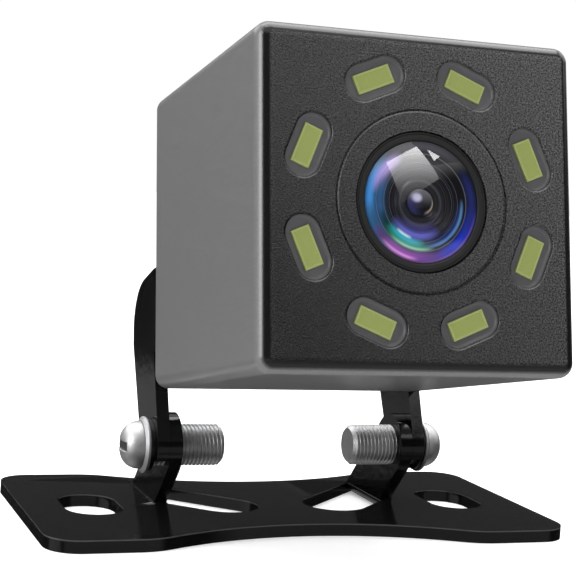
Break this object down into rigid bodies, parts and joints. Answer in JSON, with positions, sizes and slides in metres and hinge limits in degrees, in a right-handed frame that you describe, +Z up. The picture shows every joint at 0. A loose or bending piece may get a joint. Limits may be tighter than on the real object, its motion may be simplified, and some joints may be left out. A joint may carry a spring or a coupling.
{
  "type": "backup camera",
  "caption": "Square backup camera with a ring of lamps round its lens, on a yoke that tilts between the two ears of a small slotted base bracket.",
  "frame": {"origin": "underside of the base plate, midway between its two mounting slots", "axes": "+X across the plate from slot to slot, +Y towards the camera's rear, +Z up; the lens looks towards -Y and slightly up"},
  "size_m": [0.0458, 0.0412, 0.0409],
  "materials": {
    "black_steel": "smooth gloss black powder coat",
    "housing": "fine-grained charcoal moulding",
    "bright_steel": "satin nickel-plated steel",
    "dark_steel": "blackened spring steel",
    "lens_black": "satin black lens fitting",
    "optical_glass": "coated optical glass",
    "filter_glass": "infrared cut filter",
    "lamp_phosphor": "yellow-green lamp phosphor",
    "lamp_resin": "clear potting resin",
    "circuit_board": "green solder mask",
    "component_black": "moulded epoxy",
    "ceramic": "sensor ceramic",
    "bright_can": "bare metal can",
    "brass": "plated brass",
    "soft_rubber": "moulded rubber",
    "gland_plastic": "satin black nylon"
  },
  "bodies": {
    "base": {"base_bracket": "black_steel"},
    "head": {"yoke": "black_steel", "front_housing": "housing", "lamp_windows": "lamp_resin", "lamps": "lamp_phosphor", "lamp_board": "circuit_board", "lamp_resistors": "component_black", "lamp_feed_pins": "brass", "lens_retainer": "lens_black", "lens_barrel": "lens_black", "front_lens_element": "optical_glass", "front_spacer": "lens_black", "second_lens_element": "optical_glass", "aperture_stop": "lens_black", "third_lens_element": "optical_glass", "rear_spacer": "lens_black", "rear_lens_element": "optical_glass", "lens_seal": "soft_rubber", "lens_mount": "lens_black", "infrared_filter": "filter_glass", "sensor_glass": "filter_glass", "image_sensor": "ceramic", "lens_mount_screws": "bright_steel", "sensor_board": "circuit_board", "board_spacers": "brass", "board_connector": "component_black", "video_board": "circuit_board", "processor_chip": "component_black", "oscillator_crystal": "bright_can", "filter_capacitors": "bright_can", "power_inductor": "component_black", "cable_socket": "ceramic", "cover_spacers": "brass", "rear_gasket": "soft_rubber", "rear_cover": "housing", "rear_cover_screws": "dark_steel", "cable_gland": "gland_plastic", "cable_grommet": "soft_rubber", "gland_nut": "gland_plastic", "yoke_screws": "dark_steel"},
    "left_washers": {"left_lock_washer": "dark_steel", "left_flange_washer": "bright_steel"},
    "right_washers": {"right_lock_washer": "dark_steel", "right_flange_washer": "bright_steel"},
    "left_screw": {"left_pivot_screw": "bright_steel"},
    "right_screw": {"right_pivot_screw": "bright_steel"}
  },
  "joints": [
    {"name": "head_tilt", "type": "hinge", "parent": "base", "child": "head", "pos_m": [0, -0.0011, 0.00643], "axis": [-1, 0, 0], "range_deg": [-30, 75]},
    {"name": "left_clamp_travel", "type": "slide", "parent": "base", "child": "left_washers", "axis": [-1, 0, 0], "range_m": [0, 0.0007]},
    {"name": "left_screw_turn", "type": "hinge", "parent": "left_washers", "child": "left_screw", "pos_m": [-0.013, -0.0011, 0.00643], "axis": [-1, 0, 0], "range_deg": [0, 727]},
    {"name": "right_clamp_travel", "type": "slide", "parent": "base", "child": "right_washers", "axis": [1, 0, 0], "range_m": [0, 0.0007]},
    {"name": "right_screw_turn", "type": "hinge", "parent": "right_washers", "child": "right_screw", "pos_m": [0.013, -0.0011, 0.00643], "axis": [1, 0, 0], "range_deg": [0, 727]}
  ],
  "couplings": [
    {"joint": "left_screw_turn", "follows": "left_clamp_travel", "rad_per_m": 17952},
    {"joint": "right_screw_turn", "follows": "right_clamp_travel", "rad_per_m": 17952}
  ]
}
